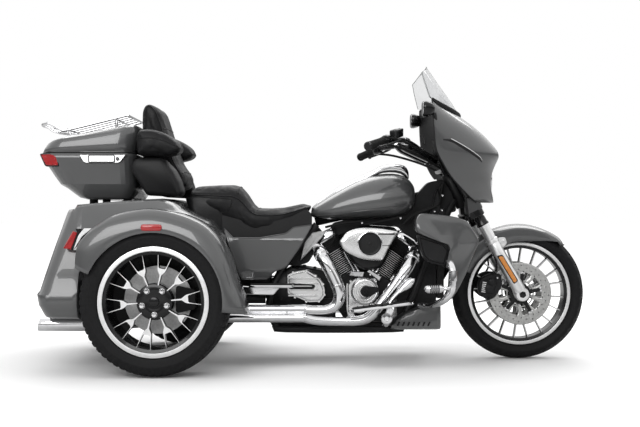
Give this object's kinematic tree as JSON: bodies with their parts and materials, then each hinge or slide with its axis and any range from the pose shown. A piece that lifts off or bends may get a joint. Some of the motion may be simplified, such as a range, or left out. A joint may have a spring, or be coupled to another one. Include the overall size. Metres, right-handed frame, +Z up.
{
  "type": "motorized trike",
  "caption": "A three-wheeled touring motorcycle with flared rear fenders, a trunk, a hinged top case with a rack, a V engine, a fork-mounted fairing with a clear windshield and a stepped seat.",
  "frame": {"origin": "on the floor, on the centreline, at the middle of the overall length", "axes": "+X forward, +Y to the rider's left, +Z up"},
  "size_m": [2.6402, 1.404, 1.42],
  "materials": {
    "air_cleaner": "satin bright plate",
    "air_filter": "black housing",
    "armrests": "grained black cover over foam",
    "backrest": "grained black cover over foam",
    "cam_cover": "polished",
    "chin_panel": "body colour",
    "cylinder_heads": "black",
    "cylinders": "black with bright fin edges",
    "engine_case": "black",
    "engine_guard": "polished",
    "exhaust": "polished",
    "fairing_inner": "black",
    "fairing_outer": "body colour, gloss",
    "foot_levers": "polished",
    "footboards": "chromed with black rubber pads",
    "fork": "bright legs, black clamps",
    "fork_covers": "body colour",
    "frame": "black",
    "front_calipers": "black",
    "front_discs": "ground",
    "front_fender": "body colour, gloss",
    "front_tyre": "black",
    "front_wheel": "black with machined edges",
    "fuel_tank": "body colour, gloss",
    "grips": "black",
    "hand_controls": "black",
    "handlebar": "black with bright clamps",
    "headlamp": "clear lens",
    "lower_fairings": "body colour, gloss",
    "luggage_rack": "polished",
    "mirrors": "black",
    "primary_cover": "polished",
    "pushrod_tubes": "polished",
    "radiator": "black",
    "rear_axle": "black",
    "rear_body": "body colour, gloss",
    "rear_calipers": "black",
    "rear_fenders": "body colour, gloss",
    "rear_lamps": "red lenses",
    "rear_suspension": "black",
    "rear_tyre_left": "black",
    "rear_tyre_right": "black",
    "rear_wheel_left": "black with machined edges",
    "rear_wheel_right": "black with machined edges",
    "reflectors": "amber",
    "rocker_covers": "polished",
    "seat": "black cover over foam",
    "side_covers": "body colour, gloss",
    "speaker_pods": "black",
    "tank_console": "polished",
    "top_case_base": "body colour, gloss",
    "top_case_latch": "polished",
    "top_case_lid": "body colour, gloss",
    "transmission_case": "black",
    "transmission_cover": "polished",
    "trunk_door": "body colour, gloss",
    "windshield": "clear"
  },
  "bodies": {
    "chassis": {"air_cleaner": "air_cleaner", "air_filter": "air_filter", "armrests": "armrests", "backrest": "backrest", "cam_cover": "cam_cover", "chin_panel": "chin_panel", "cylinder_heads": "cylinder_heads", "cylinders": "cylinders", "engine_case": "engine_case", "engine_guard": "engine_guard", "exhaust": "exhaust", "foot_levers": "foot_levers", "footboards": "footboards", "frame": "frame", "fuel_tank": "fuel_tank", "lower_fairings": "lower_fairings", "primary_cover": "primary_cover", "pushrod_tubes": "pushrod_tubes", "radiator": "radiator", "rear_axle": "rear_axle", "rear_body": "rear_body", "rear_calipers": "rear_calipers", "rear_fenders": "rear_fenders", "rear_lamps": "rear_lamps", "rear_suspension": "rear_suspension", "rocker_covers": "rocker_covers", "seat": "seat", "side_covers": "side_covers", "speaker_pods": "speaker_pods", "tank_console": "tank_console", "top_case_base": "top_case_base", "top_case_latch": "top_case_latch", "transmission_case": "transmission_case", "transmission_cover": "transmission_cover"},
    "steering": {"fairing_inner": "fairing_inner", "fairing_outer": "fairing_outer", "fork": "fork", "fork_covers": "fork_covers", "front_calipers": "front_calipers", "front_fender": "front_fender", "grips": "grips", "hand_controls": "hand_controls", "handlebar": "handlebar", "headlamp": "headlamp", "mirrors": "mirrors", "reflectors": "reflectors", "windshield": "windshield"},
    "front_wheel": {"front_tyre": "front_tyre", "front_wheel": "front_wheel", "front_discs": "front_discs"},
    "rear_wheel_left": {"rear_tyre_left": "rear_tyre_left", "rear_wheel_left": "rear_wheel_left"},
    "rear_wheel_right": {"rear_tyre_right": "rear_tyre_right", "rear_wheel_right": "rear_wheel_right"},
    "top_case_lid": {"top_case_lid": "top_case_lid", "luggage_rack": "luggage_rack"},
    "trunk_door": {"trunk_door": "trunk_door"}
  },
  "joints": [
    {"name": "steering", "type": "hinge", "parent": "chassis", "child": "steering", "pos_m": [0.70066, 0, 0.82], "axis": [-0.4384, 0, 0.8988], "range_deg": [-28, 28]},
    {"name": "front_wheel_spin", "type": "hinge", "parent": "steering", "child": "front_wheel", "pos_m": [1.001, 0, 0.3193], "axis": [0, 1, 0], "continuous": true},
    {"name": "rear_wheel_left_spin", "type": "hinge", "parent": "chassis", "child": "rear_wheel_left", "pos_m": [-0.679, 0.565, 0.3254], "axis": [0, 1, 0], "continuous": true},
    {"name": "rear_wheel_right_spin", "type": "hinge", "parent": "chassis", "child": "rear_wheel_right", "pos_m": [-0.679, -0.565, 0.3254], "axis": [0, 1, 0], "continuous": true},
    {"name": "top_case_lid", "type": "hinge", "parent": "chassis", "child": "top_case_lid", "pos_m": [-1.04, 0.302, 0.987], "axis": [-1, 0, 0], "range_deg": [0, 80]},
    {"name": "trunk_door", "type": "hinge", "parent": "chassis", "child": "trunk_door", "pos_m": [-1.2163, 0, 0.377], "axis": [0, -1, 0], "range_deg": [0, 85]}
  ]
}
